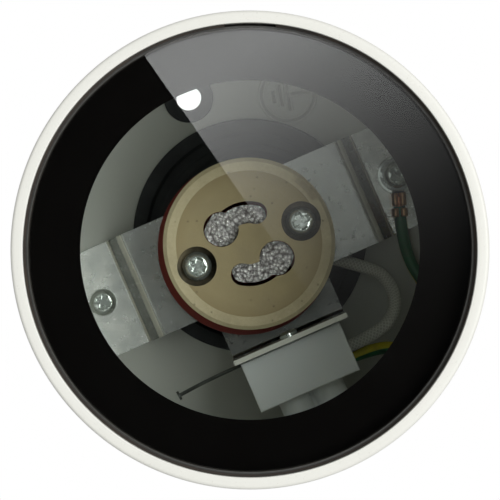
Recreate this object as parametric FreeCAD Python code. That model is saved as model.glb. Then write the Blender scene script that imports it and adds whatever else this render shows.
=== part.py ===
"""Soffit downlight for a two-pin twist-lock lamp, as it hangs. Sizes are in millimetres.

The mounting face is z = 0, against the soffit. The light hangs below it, and its glass faces -Z.
X and Y cross the round can. The lamp holder and its bracket are drawn in a frame of their own,
with u along the bracket, v across it and the origin on the holder's axis, and are then turned
and moved into the can.
"""

import math
import os

import FreeCAD
import Part

V = FreeCAD.Vector
X = V(1, 0, 0)
Y = V(0, 1, 0)
Z = V(0, 0, 1)

# ---- can
can_diameter = 70.0
can_height = 95.0
lip_wall = 1.75  # wall beside the glass
can_wall = 3.25  # wall behind the shoulder that the glass seats on
back_depth = 6.0  # from the mounting face to the inner face of the back
back_wall = 4.6
rim_bevel = 0.5
rear_wall = 4.25  # skirt behind the back, round the cable space

# ---- glass unit
glass_recess = 1.6  # from the rim to the glass
glass_thickness = 4.0
glass_bevel = 0.35
gasket_lip = 0.35  # gasket between the edge of the glass and the can
gasket_seat = 1.2  # gasket between the glass and the shoulder
gasket_gap = 7.5  # width of the gap in the lip, where the glass is prised out
border_thickness = 0.06
border_width = 7.85  # from the edge of the glass to the clear window
gasket_inset = 0.1  # front of the lip behind the front of the glass
gasket_play = 0.01  # from the lip to the edge of the glass
seat_overhang = 0.2  # from the wall to the inner edge of the seat
fit_gap = 0.05  # sliding clearance on a radius

# ---- fixing holes and cable entry in the back
fixing_inset = 4.75  # from the wall to the middle of a fixing hole
fixing_angle = -112.0
fixing_hole = 4.15
grommet_neck = 6.4
grommet_flange = 8.2
grommet_flange_height = 1.0
foot_hole_depth = 4.0
foot_thread = 4.4  # screw beyond the foot's face
membrane_inset = 13.75  # from the wall to the neck
membrane_brim = 1.2  # flange beyond the neck
membrane_y = -2.4
membrane_flange = 1.0
membrane_lip = 0.8
membrane_lip_inset = 0.4

# ---- bracket
bracket_turn = -23.5
holder_x = -0.15
holder_y = -1.0
sheet = 0.8
bracket_u = 0.5  # middle of the bracket from the holder's axis
bracket_v = -0.75
foot_length = 6.85
platform_width = 17.9
platform_height = 8.0  # front of the platform above the inner face of the back
riser_run = 2.0
bracket_end_gap = 3.15  # from the wall, along the bracket's middle line
foot_screw_inset = 2.3  # from the end of the bracket
arm_width = 19.5
tab_face = 16.9  # outer face of the upstanding tab
tab_height = 22.0  # tab above the platform
bend = 0.5
lead_window = 13.0  # round hole in the platform
arm_overlap = 3.0  # the arm's start inside the edge of the platform

# ---- lamp holder
holder_diameter = 27.3
holder_height = 20.0
holder_bevel = 0.6
face_diameter = 23.2
face_recess = 0.7
slot_plate = 2.2
pin_radius = 5.0
slot_large = 5.6
slot_small = 3.5
slot_twist = 75.6
slot_start = -129.3  # angle of the first large end from the bracket's u axis
pocket_margin = 0.9
notch_start = -30.5  # angle in the bracket's frame
notch_sweep = 20.0
notch_outer = 0.5  # from the outside of the holder
notch_width = 1.0
notch_depth = 1.2
holder_screw_pitch = 18.0
screw_thread = 2.9
screw_hole = 3.3
counterbore = 6.3
counterbore_depth = 3.4
disc_diameter = 28.4
disc_thickness = 2.0
disc_x = -0.78
disc_y = -0.43
disc_screw_hole = 5.0
boss_diameter = 11.0
boss_bore = 8.8
boss_height = 4.6

# ---- contacts
leaf_thickness = 0.5
leaf_inner = 2.9
leaf_outer = 6.2
leaf_gap = 0.4  # from the slot plate down to the leaf
leg_radius = 3.45
leg_width = 2.0
leg_length = 10.5
tail_gap = 0.1
tail_thickness = 0.4
tail_overlap = 4.0  # of the leaf's leg along the tail
tail_end = 0.9  # beyond the axis of the lamp leads
leaf_side_gap = 0.1  # round the leaf's large end
leaf_rim = 1.2  # the large end beyond the leaf's outer edge

# ---- terminal block
block_u = -0.36
block_length = 17.1
block_width = 8.3
block_gap = 0.2  # between the tab and the block
block_front = 3.0  # from the front of the tab back to the front of the block
block_height = 15.5
block_bevel = 0.15
tube_diameter = 5.2
tube_bore = 3.4
tube_pitch = 5.8
tube_end_gap = 2.15  # from the wall, on the block's middle line
tube_web = 1.2
tube_depth = 5.5  # from the front of the block to the tubes' axes
rivet_depth = 5.0  # from the front of the tab to the rivet
rivet_diameter = 2.0
rivet_head = 3.0
rivet_head_height = 0.9
rivet_bevel = 0.4
rivet_reach = 2.3  # into the block
rivet_hole = 2.5  # into the block
bore_wall = 1.5  # block behind the tubes' bores
pin_diameter = 0.6
pin_depth = 7.6
pin_reach = 10.8  # free end beyond the block
pin_head = 1.5
pin_head_length = 0.4
pin_lean = 0.5  # sideways bend of the free end
pin_short = 0.5
pin_inset = 0.2  # axis of the pin behind the inner face of the block
pin_groove = 0.7

# ---- leads
sleeve_diameter = 2.1
earth_diameter = 2.0
conductor_diameter = 1.25
entry_clearance = 0.1
entry_depth = 2.5
lead_level = 4.95  # axis of the lamp leads above the inner face of the back
arc_share = 0.49  # part of a run that the arc at its end may use
end_share = 1.8  # how much more of its length a first or last run may give
lead_sides = 8

# ---- screws
head_diameter = 4.4
head_height = 1.9
head_flat = 0.6  # flat top, as a share of the head's radius
head_edge = 0.3  # upright edge, as a share of the head's height
recess_reach = 0.62  # cross recess, as a share of the head's radius
recess_width = 0.14  # wing of the cross, as a share of the head's diameter
recess_depth = 0.55  # as a share of the head's height
screw_tip = 0.6  # holder screws beyond the platform
holder_screw_turns = (20.0, 64.0)
foot_screw_turn = 15.0
earth_screw_turn = 40.0
holder_head_diameter = 4.75
washer_diameter = 5.6
washer_thickness = 0.5
washer_teeth = 8
tooth_gap = 0.8
tooth_depth = 0.45
terminal_ring = 6.4
terminal_sheet = 0.8
terminal_turn = -4.0
terminal_neck = 2.0
grip_gap = 0.02  # between the barrel and what it grips
crimp_inset = 0.05  # each end of the bare copper in its grip
barrel_start = 3.6  # all four from the earth screw's axis
barrel_step = 5.2
barrel_end = 6.5
lead_start = 5.3
barrel_diameter = 2.8
lead_drop = 1.4  # axis of the barrel from the foot's face

# ---- worked out
can_radius = can_diameter / 2
lip_radius = can_radius - lip_wall
inner_radius = can_radius - can_wall
rim = -can_height
glass_front = rim + glass_recess
glass_back = glass_front + glass_thickness
border_back = glass_back + border_thickness
shoulder = border_back + gasket_seat
glass_radius = lip_radius - fit_gap - gasket_lip
window_radius = glass_radius - border_width
fixing_circle = 2 * (inner_radius - fixing_inset)
bracket_length = 2 * (inner_radius - bracket_end_gap)
platform_length = bracket_length - 2 * (foot_length + riser_run)
membrane_neck = 2 * (inner_radius - membrane_inset)
membrane_diameter = membrane_neck + 2 * membrane_brim
floor = -back_depth
platform = floor - platform_height
disc_front = platform - disc_thickness
holder_face = disc_front - holder_height
recess_face = holder_face + face_recess
plate_rear = recess_face + slot_plate
tab_front = platform - tab_height
block_face = tab_front + block_front
block_rear = block_face + block_height
block_inner = tab_face + block_gap
block_outer = block_inner + block_width
tube_length = inner_radius - tube_end_gap - block_outer
block_end = block_u + block_length / 2
tube_z = block_face + tube_depth
pin_z = tab_front + pin_depth
lead_z = floor - lead_level
foot_face = floor - sheet
foot_u = bracket_length / 2 - foot_screw_inset


def disc(radius, low, high, x=0.0, y=0.0):
    """A cylinder along Z between two heights."""
    return Part.makeCylinder(radius, high - low, V(x, y, low), Z)


def ring(outer, inner, low, high):
    """A round tube along Z between two heights."""
    return disc(outer, low, high).cut(disc(inner, low - 1, high + 1))


def block(u0, u1, v0, v1, low, high):
    """A box between two corners."""
    return Part.makeBox(u1 - u0, v1 - v0, high - low, V(u0, v0, low))


def revolve(points):
    """The solid of revolution about Z of an outline given as (radius, height)."""
    corners = [V(r, 0, z) for r, z in points]
    face = Part.Face(Part.makePolygon(corners + corners[:1]))
    return face.revolve(V(0, 0, 0), Z, 360)


def extrude(points, origin, first, second, along):
    """The solid swept along a vector by an outline given in two directions from an origin."""
    corners = [origin + first * a + second * b for a, b in points]
    return Part.Face(Part.makePolygon(corners + corners[:1])).extrude(along)


def round_edges(shape, radius, chosen):
    """The shape with a round on each edge whose middle passes the test."""
    edges = [e for e in shape.Edges if chosen(e.CenterOfMass, e)]
    return shape.makeFillet(radius, edges)


def bevel_edges(shape, size, chosen):
    """The shape with a bevel on each edge whose middle passes the test."""
    edges = [e for e in shape.Edges if chosen(e.CenterOfMass, e)]
    return shape.makeChamfer(size, edges)


def bevelled_disc(radius, size, low, high):
    """A cylinder whose lower edge is bevelled."""
    return revolve([(0, low), (radius - size, low), (radius, low + size), (radius, high), (0, high)])


def seated(shape):
    """The shape, turned and moved from the bracket's frame into the can."""
    shape = shape.copy()
    shape.rotate(V(0, 0, 0), Z, bracket_turn)
    shape.translate(V(holder_x, holder_y, 0))
    return shape


def in_can(u, v, z):
    """A point of the bracket's frame, given in the can."""
    turn = math.radians(bracket_turn)
    x = holder_x + u * math.cos(turn) - v * math.sin(turn)
    y = holder_y + u * math.sin(turn) + v * math.cos(turn)
    return V(x, y, z)


def polar(radius, degrees):
    """A point of the holder's face, from its axis."""
    turn = math.radians(degrees)
    return V(radius * math.cos(turn), radius * math.sin(turn), 0)


def write(node, *solids):
    """Writes one node as a STEP file."""
    shape = solids[0] if len(solids) == 1 else Part.makeCompound(list(solids))
    shape.exportStep(os.path.join("parts", node + ".step"))


# ---- can and what is fixed to its back


def fixing_points():
    """The middles of the two fixing holes, opposite each other on their circle."""
    return [polar(fixing_circle / 2, fixing_angle + 180 * n) for n in range(2)]


def foot_points():
    """The middles of the two screws that hold the bracket's feet."""
    return [in_can(bracket_u + side * foot_u, bracket_v, 0) for side in (-1, 1)]


def housing():
    """The cast can: lip, shoulder, wall, back, bosses and the holes in its back."""
    body = bevelled_disc(can_radius, rim_bevel, rim, 0)
    body = body.cut(disc(lip_radius, rim - 1, shoulder))
    body = body.cut(disc(inner_radius, shoulder - 1, floor))
    body = body.cut(disc(can_radius - rear_wall, floor + back_wall, 1))
    for p in fixing_points():
        body = body.cut(disc(grommet_neck / 2 + fit_gap, floor - 1, 1, p.x, p.y))
    for p in foot_points():
        body = body.cut(disc(screw_thread / 2 + fit_gap, floor - 1, floor + foot_hole_depth, p.x, p.y))
    body = body.cut(disc(membrane_neck / 2 + fit_gap, floor - 1, 1, 0, membrane_y))
    return body.removeSplitter()


def fixing_grommet(p):
    """A rubber bush that seals one fixing screw: a flange inside the can and a neck in the hole."""
    bush = disc(grommet_neck / 2, floor, 0, p.x, p.y)
    flange = disc(grommet_flange / 2, floor - grommet_flange_height, floor, p.x, p.y)
    return bush.fuse(flange).cut(disc(fixing_hole / 2, floor - 3, 1, p.x, p.y))


def cable_membrane():
    """The rubber plug that the supply cable is pushed through, held by a lip on each side of the back."""
    outer = membrane_diameter / 2
    neck = membrane_neck / 2
    rear = floor + back_wall
    front = floor - membrane_flange
    steps = [(0, front), (outer, front), (outer, floor), (neck, floor), (neck, rear)]
    steps += [(outer - membrane_lip_inset, rear), (neck, rear + membrane_lip), (0, rear + membrane_lip)]
    shape = revolve(steps)
    shape.translate(V(0, membrane_y, 0))
    return shape


# ---- glass unit


def front_glass():
    """The toughened glass disc with its front edge bevelled."""
    flat = glass_radius - glass_bevel
    outline = [(0, glass_front), (flat, glass_front), (glass_radius, glass_front + glass_bevel)]
    outline += [(glass_radius, glass_back), (0, glass_back)]
    return revolve(outline)


def glass_border():
    """The black border fired on the back of the glass round the clear window."""
    return ring(glass_radius - glass_bevel, window_radius, glass_back, border_back)


def glass_gasket():
    """The L-section rubber: a lip round the edge of the glass and a seat behind it."""
    outer = lip_radius - fit_gap
    lip = ring(outer, glass_radius + gasket_play, glass_front + gasket_inset, border_back)
    gap = block(-gasket_gap / 2, gasket_gap / 2, -can_radius, -inner_radius / 2, rim, border_back)
    seat = ring(outer, inner_radius + seat_overhang, border_back, shoulder)
    return lip.cut(gap).fuse(seat).removeSplitter()


# ---- bracket and its fastenings


def hat_section():
    """The bracket's long strip: a foot, a leaning riser, the platform, and the same again."""
    half = platform_length / 2
    end = bracket_length / 2
    lean = riser_run / (platform_height - sheet)
    across = sheet * math.hypot(1, lean)
    top = half + lean * sheet - across
    low = half + lean * platform_height - across
    front = [(-end, foot_face), (-half - riser_run, foot_face), (-half, platform)]
    front += [(half, platform), (half + riser_run, foot_face), (end, foot_face)]
    rear = [(end, floor), (low, floor), (top, platform + sheet)]
    rear += [(-top, platform + sheet), (-low, floor), (-end, floor)]
    corner = V(bracket_u, bracket_v - platform_width / 2, 0)
    strip = extrude(front + rear, corner, X, Z, Y * platform_width)
    bends = {(half, platform): 1, (half + riser_run, foot_face): 0}
    bends.update({(low, floor): 1, (top, platform + sheet): 0})

    def is_bend(c, outside):
        return any(
            abs(abs(c.x - bracket_u) - u) < 0.01 and abs(c.z - z) < 0.01
            for (u, z), side in bends.items()
            if side == outside
        )

    strip = round_edges(strip, bend + sheet, lambda c, e: is_bend(c, 1))
    return round_edges(strip, bend, lambda c, e: is_bend(c, 0))


def arm_section():
    """The side arm with its end bent up into the tab that carries the terminal block."""
    start = bracket_v + platform_width / 2 - arm_overlap
    inner = tab_face - sheet
    outline = [(start, platform), (inner, platform), (inner, tab_front), (tab_face, tab_front)]
    outline += [(tab_face, platform + sheet), (start, platform + sheet)]
    arm = extrude(outline, V(-arm_width / 2, 0, 0), Y, Z, X * arm_width)

    def at(c, v, z):
        return abs(c.y - v) < 0.01 and abs(c.z - z) < 0.01

    arm = round_edges(arm, bend + sheet, lambda c, e: at(c, tab_face, platform + sheet))
    return round_edges(arm, bend, lambda c, e: at(c, inner, platform))


def holder_bracket():
    """The one-piece sheet bracket with its tapped, foot, lead and rivet holes."""
    shape = hat_section().fuse(arm_section())
    shape = shape.cut(disc(lead_window / 2, platform - 1, platform + 2))
    for side in (-1, 1):
        half = holder_screw_pitch / 2
        shape = shape.cut(disc(screw_thread / 2 + fit_gap, platform - 1, platform + 2, side * half, 0))
        u = bracket_u + side * foot_u
        shape = shape.cut(disc(screw_hole / 2, foot_face - 1, floor + 1, u, bracket_v))
    start = V(0, tab_face - sheet - 1, tab_front + rivet_depth)
    rivet = Part.makeCylinder(rivet_diameter / 2 + fit_gap, sheet + 2, start, Y)
    return seated(shape.cut(rivet).removeSplitter())


def pan_screw(head, thread_length, low):
    """A cross-recessed pan head screw pointing up, with its bearing face at the height given."""
    radius = head / 2
    crown = low - head_height
    dome = [(0, crown), (head_flat * radius, crown), (radius, low - head_edge * head_height), (radius, low)]
    dome += [(screw_thread / 2, low)]
    dome += [(screw_thread / 2, low + thread_length), (0, low + thread_length)]
    screw = revolve(dome)
    reach = recess_reach * radius
    wing = recess_width * head
    bottom = crown + recess_depth * head_height
    cross = block(-reach, reach, -wing / 2, wing / 2, crown - 1, bottom)
    cross = cross.fuse(block(-wing / 2, wing / 2, -reach, reach, crown - 1, bottom))
    return screw.cut(cross)


def holder_screws():
    """The two screws that clamp the holder and its disc to the platform."""
    seat = recess_face + counterbore_depth
    length = platform + sheet - seat + screw_tip
    screws = []
    for side, twist in zip((-1, 1), holder_screw_turns):
        screw = pan_screw(holder_head_diameter, length, seat)
        screw.rotate(V(0, 0, 0), Z, twist)
        screw.translate(V(side * holder_screw_pitch / 2, 0, 0))
        screws.append(seated(screw))
    return screws


def foot_screw(side, under, twist):
    """A screw through one foot of the bracket into the back of the can."""
    screw = pan_screw(head_diameter, foot_thread + under, foot_face - under)
    screw.rotate(V(0, 0, 0), Z, twist)
    screw.translate(V(bracket_u + side * foot_u, bracket_v, 0))
    return seated(screw)


# ---- lamp holder


def slot_outline(margin, low, high, start):
    """A twist slot: a large round end, and an arc round the holder's axis to a small round end."""
    large = slot_large / 2 + margin
    small = slot_small / 2 + margin
    first = polar(pin_radius, start)
    last = polar(pin_radius, start + slot_twist)
    shape = disc(large, low, high, first.x, first.y)
    shape = shape.fuse(disc(small, low, high, last.x, last.y))
    return shape.fuse(arc_band(pin_radius - small, pin_radius + small, low, high, start, slot_twist))


def arc_band(inner, outer, low, high, start, sweep):
    """Part of a round tube, from one angle through a sweep."""
    corners = [V(inner, 0, low), V(outer, 0, low), V(outer, 0, high), V(inner, 0, high)]
    face = Part.Face(Part.makePolygon(corners + corners[:1]))
    band = face.revolve(V(0, 0, 0), Z, sweep)
    band.rotate(V(0, 0, 0), Z, start)
    return band


def holder_body():
    """The ceramic body: rim, sunk face, twist slots over open pockets, and screw holes."""
    outer = holder_diameter / 2
    body = bevelled_disc(outer, holder_bevel, holder_face, disc_front)
    body = body.cut(disc(face_diameter / 2, holder_face - 1, recess_face))
    for start in (slot_start, slot_start + 180):
        body = body.cut(slot_outline(0, holder_face - 1, plate_rear + 1, start))
        body = body.cut(slot_outline(pocket_margin, plate_rear, disc_front + 1, start))
    for side in (-1, 1):
        u = side * holder_screw_pitch / 2
        seat = recess_face + counterbore_depth
        body = body.cut(disc(counterbore / 2, holder_face - 1, seat, u, 0))
        body = body.cut(disc(screw_hole / 2, holder_face - 1, disc_front + 1, u, 0))
    edge = outer - notch_outer
    deep = holder_face + notch_depth
    notch = arc_band(edge - notch_width, edge, holder_face - 1, deep, notch_start, notch_sweep)
    return seated(body.cut(notch).removeSplitter())


def insulating_disc():
    """The dark red disc under the ceramic, with the boss that guides the lamp leads."""
    shape = disc(disc_diameter / 2, disc_front, platform)
    shape = shape.fuse(disc(boss_diameter / 2, platform - 0.5, platform + boss_height))
    shape = shape.cut(disc(boss_bore / 2, disc_front - 1, 0))
    shape.translate(V(disc_x, disc_y, 0))
    for side in (-1, 1):
        p = in_can(side * holder_screw_pitch / 2, 0, 0)
        shape = shape.cut(disc(disc_screw_hole / 2, disc_front - 1, platform + 1, p.x, p.y))
    half = sleeve_diameter / 2 + entry_clearance
    for route in (lamp_route_a(), lamp_route_b()):
        slot = block(0, boss_diameter, -half, half, lead_z - half, 0)
        way = route[1] - route[0]
        slot.rotate(V(0, 0, 0), Z, math.degrees(math.atan2(way.y, way.x)))
        slot.translate(V(route[0].x, route[0].y, 0))
        shape = shape.cut(slot)
    return shape.removeSplitter()


def contact_leaf(start):
    """The sprung contact under one slot: a curved leaf with a leg bent up into the pocket."""
    front = plate_rear + leaf_gap
    middle = start + slot_twist / 2
    leaf = arc_band(leaf_inner, leaf_outer, front, front + leaf_thickness, start, slot_twist)
    end = polar(pin_radius, start)
    pad = disc(slot_large / 2 - leaf_side_gap, front, front + leaf_thickness, end.x, end.y)
    pad = pad.common(disc(leaf_outer + leaf_rim, front - 1, front + 2))
    end = polar((leaf_inner + leaf_outer) / 2, start + slot_twist)
    tip = disc((leaf_outer - leaf_inner) / 2, front, front + leaf_thickness, end.x, end.y)
    half = leg_width / 2
    inner = leg_radius - leaf_thickness / 2
    leg = block(inner, inner + leaf_thickness, -half, half, front, front + leg_length)
    leg.rotate(V(0, 0, 0), Z, middle)
    return seated(leaf.fuse(pad).fuse(tip).fuse(leg).removeSplitter())


def contact_tail(start):
    """The fixed strip that the leaf's leg slides on, with a foot on the insulating disc."""
    outer = leg_radius - leaf_thickness / 2 - tail_gap
    half = leg_width / 2
    middle = start + slot_twist / 2
    front = plate_rear + leaf_gap + leg_length - tail_overlap
    inner = outer - tail_thickness
    strip = block(inner, outer, -half, half, front, lead_z + tail_end)
    foot = block(inner, leaf_outer, -half, half, disc_front - tail_thickness, disc_front)
    shape = strip.fuse(foot).removeSplitter()
    shape.rotate(V(0, 0, 0), Z, middle)
    return seated(shape)


# ---- terminal block


def tube_centres():
    """The places of the two wire tubes along the bracket's u axis."""
    return [block_u + side * tube_pitch / 2 for side in (-1, 1)]


def entry_holes():
    """The holes in the end and the rear of the block for the two lamp leads and the earth lead."""
    holes = []
    for route, diameter in (
        (lamp_route_a(), sleeve_diameter),
        (lamp_route_b(), sleeve_diameter),
        (earth_route(), earth_diameter),
    ):
        way = (route[-2] - route[-1]).normalize()
        radius = diameter / 2 + entry_clearance
        holes.append(Part.makeCylinder(radius, entry_depth + 2, route[-1] - way * 0.2, way))
    return holes


def terminal_block():
    """The white two-pole block with its wire tubes, seated beyond the tab."""
    left = block_u - block_length / 2
    body = block(left, block_end, block_inner, block_outer, block_face, block_rear)
    body = bevel_edges(body, block_bevel, lambda c, e: c.z < block_face + 0.01)
    for u in tube_centres():
        tube = Part.makeCylinder(tube_diameter / 2, tube_length + 1, V(u, block_outer - 1, tube_z), Y)
        body = body.fuse(tube)
    first, last = tube_centres()
    tube_end = block_outer + tube_length
    body = body.fuse(block(first, last, block_outer - 1, tube_end, tube_z, tube_z + tube_web))
    reach = block_inner + pin_inset + pin_groove / 2
    half = pin_groove / 2
    body = body.cut(block(left - 1, block_end + 1, block_inner - 1, reach, pin_z - half, pin_z + half))
    for u in tube_centres():
        bore = Part.makeCylinder(tube_bore / 2, inner_radius, V(u, block_inner + bore_wall, tube_z), Y)
        body = body.cut(bore)
    start = V(0, block_inner - 1, tab_front + rivet_depth)
    stud = Part.makeCylinder(rivet_diameter / 2 + fit_gap, rivet_hole + 1, start, Y)
    body = seated(body.cut(stud))
    for hole in entry_holes():
        body = body.cut(hole)
    return body


def block_rivet():
    """The rivet through the tab into the block."""
    z = tab_front + rivet_depth
    inner = tab_face - sheet
    shank = Part.makeCylinder(rivet_diameter / 2, sheet + block_gap + rivet_reach, V(0, inner, z), Y)
    top = inner - rivet_head_height
    head = Part.makeCylinder(rivet_head / 2, rivet_head_height, V(0, top, z), Y)
    head = bevel_edges(head, rivet_bevel, lambda c, e: c.y < top + 0.01 and len(e.Vertexes) == 1)
    return seated(shank.fuse(head))


def block_pin():
    """The thin steel pin between the tab and the block, with its upset head at the free end."""
    v = block_inner + pin_inset
    left = block_u - block_length / 2
    knee = V(left - pin_reach / 2, v, pin_z)
    tip = V(left - pin_reach, v + pin_lean, pin_z)
    wire, _ = soft_path([V(block_end - pin_short, v, pin_z), knee, tip])
    shank = tube_along(wire, pin_diameter)
    way = (tip - knee).normalize()
    head = Part.makeCylinder(pin_head / 2, pin_head_length, tip, way)
    return seated(shank.fuse(head))


# ---- leads


def lamp_route_a():
    """The lead that shows: out under the platform and round in a loop to the end of the block."""
    end = in_can(block_end - entry_depth, 21.7, floor - 14.0)
    route = [V(-1.15, -2.0, lead_z), V(19.6, 2.5, lead_z), V(23.0, 5.3, floor - 7.0)]
    route += [V(23.9, 9.6, floor - 10.6)]
    return route + [end + in_can(7.9, 0, 0) - in_can(0, 0, 0), end]


def lamp_route_b():
    """The lead that is hidden: along under the arm and down into the rear of the block."""
    bottom = block_rear - entry_depth
    return [
        in_can(0, 3.7, lead_z),
        in_can(0, 17.4, lead_z),
        in_can(0, 21.2, lead_z - 3.8),
        in_can(0, 21.2, bottom),
    ]


def terminal_frame():
    """The earth screw's place and the way its terminal points."""
    screw = foot_points()[1]
    turn = math.radians(90 + terminal_turn)
    return V(screw.x, screw.y, foot_face), V(math.cos(turn), math.sin(turn), 0)


def earth_route():
    """The earth lead: from its terminal down beside the wall and back to the end of the block."""
    screw, way = terminal_frame()
    start = screw + way * lead_start - Z * lead_drop
    end = in_can(block_end - entry_depth, 23.4, floor - 12.6)
    route = [start, polar(inner_radius - 6.7, 1.1) + Z * (floor - 2.4)]
    route += [polar(inner_radius - 0.95, 13.9) + Z * (floor - 3.6)]
    route += [polar(inner_radius - 1.4, 32.7) + Z * (floor - 9.5)]
    return route + [end + in_can(7.0, 0, 0) - in_can(0, 0, 0), end]


def soft_path(points):
    """Straight runs joined by tangent arcs, each arc as large as its two runs allow."""
    runs = [points[n + 1] - points[n] for n in range(len(points) - 1)]
    edges = []
    radii = []
    start = points[0]
    for n in range(1, len(points) - 1):
        before = V(runs[n - 1]).normalize()
        after = V(runs[n]).normalize()
        half = before.getAngle(after) / 2
        room = [runs[n - 1].Length, runs[n].Length]
        if n == 1:
            room[0] *= end_share
        if n == len(points) - 2:
            room[1] *= end_share
        reach = arc_share * min(room)
        radius = reach / math.tan(half)
        into = points[n] - before * reach
        out = points[n] + after * reach
        inward = (after - before).normalize()
        middle = points[n] + inward * (radius / math.cos(half) - radius)
        if (into - start).Length > 0.001:
            edges.append(Part.LineSegment(start, into).toShape())
        edges.append(Part.Arc(into, middle, out).toShape())
        radii.append(radius)
        start = out
    edges.append(Part.LineSegment(start, points[-1]).toShape())
    return Part.Wire(edges), radii


def tube_along(wire, diameter):
    """A solid with flat sides swept along a path."""
    first = wire.Edges[0]
    way = first.tangentAt(first.FirstParameter)
    start = first.valueAt(first.FirstParameter)
    across = way.cross(Z if abs(way.z) < 0.9 else X).normalize() * (diameter / 2)
    around = FreeCAD.Rotation(way, 360.0 / lead_sides)
    corners = [across]
    for _ in range(lead_sides - 1):
        corners.append(around.multVec(corners[-1]))
    section = Part.makePolygon([start + c for c in corners + corners[:1]])
    return wire.makePipeShell([section], True, False)


def lead(name, route, diameter):
    """One insulated lead, with its radii and its volume against section times length printed."""
    wire, radii = soft_path(route)
    solid = tube_along(wire, diameter)
    expected = lead_sides / 2 * math.sin(2 * math.pi / lead_sides) * (diameter / 2) ** 2 * wire.Length
    shown = ", ".join(f"{r:.1f}" for r in radii)
    ratio = solid.Volume / expected
    print(f"{name}: length {wire.Length:.1f}, radii {shown}, volume / expected {ratio:.4f}")
    return solid


def earth_terminal():
    """The ring terminal under the earth screw, with its barrel closed round wire and insulation."""
    screw, way = terminal_frame()
    shape = ring(terminal_ring / 2, screw_hole / 2, -terminal_sheet, 0)
    inner = (terminal_ring + screw_hole) / 4
    half = terminal_neck / 2
    shape = shape.fuse(block(-half, half, inner, barrel_end, -terminal_sheet, 0))
    start = V(0, barrel_start, -lead_drop)
    shape = shape.fuse(Part.makeCylinder(barrel_diameter / 2, barrel_end - barrel_start, start, Y))
    grips = [(0, barrel_step, conductor_diameter)]
    grips += [(barrel_step, barrel_end + 1, earth_diameter)]
    for start, end, gripped in grips:
        bore = gripped / 2 + grip_gap
        hole = Part.makeCylinder(bore, end - start, V(0, start, -lead_drop), Y)
        shape = shape.cut(hole)
    shape = shape.removeSplitter()
    shape.rotate(V(0, 0, 0), Z, terminal_turn)
    shape.translate(screw)
    return shape


def earth_conductor():
    """The bare copper end of the earth lead in its grip."""
    screw, way = terminal_frame()
    start = barrel_start + crimp_inset
    axis = screw + way * start - Z * lead_drop
    return Part.makeCylinder(conductor_diameter / 2, lead_start - crimp_inset - start, axis, way)


def earth_washer():
    """The toothed washer under the head of the earth screw."""
    low = foot_face - terminal_sheet - washer_thickness
    washer = ring(washer_diameter / 2, screw_hole / 2, low, low + washer_thickness)
    for n in range(washer_teeth):
        half = tooth_gap / 2
        notch = block(washer_diameter / 2 - tooth_depth, washer_diameter, -half, half, low - 1, 0)
        notch.rotate(V(0, 0, 0), Z, 360.0 * n / washer_teeth)
        washer = washer.cut(notch)
    p = foot_points()[1]
    washer.translate(V(p.x, p.y, 0))
    return washer


def main():
    os.makedirs("parts", exist_ok=True)
    write("housing", housing())
    for n, p in enumerate(fixing_points(), 1):
        write(f"fixing_grommet_{n}", fixing_grommet(p))
    write("cable_membrane", cable_membrane())
    write("front_glass", front_glass())
    write("glass_border", glass_border())
    write("glass_gasket", glass_gasket())
    write("holder_bracket", holder_bracket())
    write("foot_screw", foot_screw(-1, 0, foot_screw_turn))
    write("earth_screw", foot_screw(1, terminal_sheet + washer_thickness, earth_screw_turn))
    write("earth_washer", earth_washer())
    write("earth_terminal", earth_terminal())
    write("earth_conductor", earth_conductor())
    write("earth_lead", lead("earth_lead", earth_route(), earth_diameter))
    write("holder_body", holder_body())
    write("insulating_disc", insulating_disc())
    write("holder_screws", *holder_screws())
    for n, start in enumerate((slot_start, slot_start + 180), 1):
        write(f"contact_leaf_{n}", contact_leaf(start))
        write(f"contact_tail_{n}", contact_tail(start))
    write("terminal_block", terminal_block())
    write("block_rivet", block_rivet())
    write("block_pin", block_pin())
    write("lamp_lead_a", lead("lamp_lead_a", lamp_route_a(), sleeve_diameter))
    write("lamp_lead_b", lead("lamp_lead_b", lamp_route_b(), sleeve_diameter))


main()
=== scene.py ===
# %% [markdown]
# # A soffit downlight, dressed for its portrait
# The light hangs under a roof edge with its glass facing down. The packed CAD model gives every rigid
# piece its place, so nothing here is fitted by eye: sizes are read from the frame, or named in
# millimetres, and turned into metres once.

# %% Load the frame
import math

import bmesh
import bpy
import numpy as np

from mathutils import Matrix, Vector


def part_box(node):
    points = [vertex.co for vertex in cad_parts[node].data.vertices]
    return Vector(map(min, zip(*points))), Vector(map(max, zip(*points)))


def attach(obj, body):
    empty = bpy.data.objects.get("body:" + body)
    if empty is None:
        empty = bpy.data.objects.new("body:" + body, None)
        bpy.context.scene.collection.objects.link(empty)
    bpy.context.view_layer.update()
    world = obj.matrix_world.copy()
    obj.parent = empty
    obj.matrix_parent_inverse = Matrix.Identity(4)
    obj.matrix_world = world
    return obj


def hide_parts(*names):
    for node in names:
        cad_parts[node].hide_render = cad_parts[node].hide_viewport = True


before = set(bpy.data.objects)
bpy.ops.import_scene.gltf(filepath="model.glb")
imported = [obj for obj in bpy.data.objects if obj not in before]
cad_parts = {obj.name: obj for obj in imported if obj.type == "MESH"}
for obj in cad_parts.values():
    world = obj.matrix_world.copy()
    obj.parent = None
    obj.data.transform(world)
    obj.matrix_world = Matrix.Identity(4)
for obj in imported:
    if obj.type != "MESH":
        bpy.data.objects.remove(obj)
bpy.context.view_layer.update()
mm = 0.001


def box_of(node):
    """The lowest and highest corner of a CAD node, in millimetres."""
    low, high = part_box(node)
    return np.array(low) / mm, np.array(high) / mm


# %% [markdown]
# ## Sizes that the pieces share
# The can is round about the Z axis and the lamp holder stands a little beside it, on a bracket that is
# turned. Reading these from the frame keeps the scene true if the CAD changes.

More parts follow.
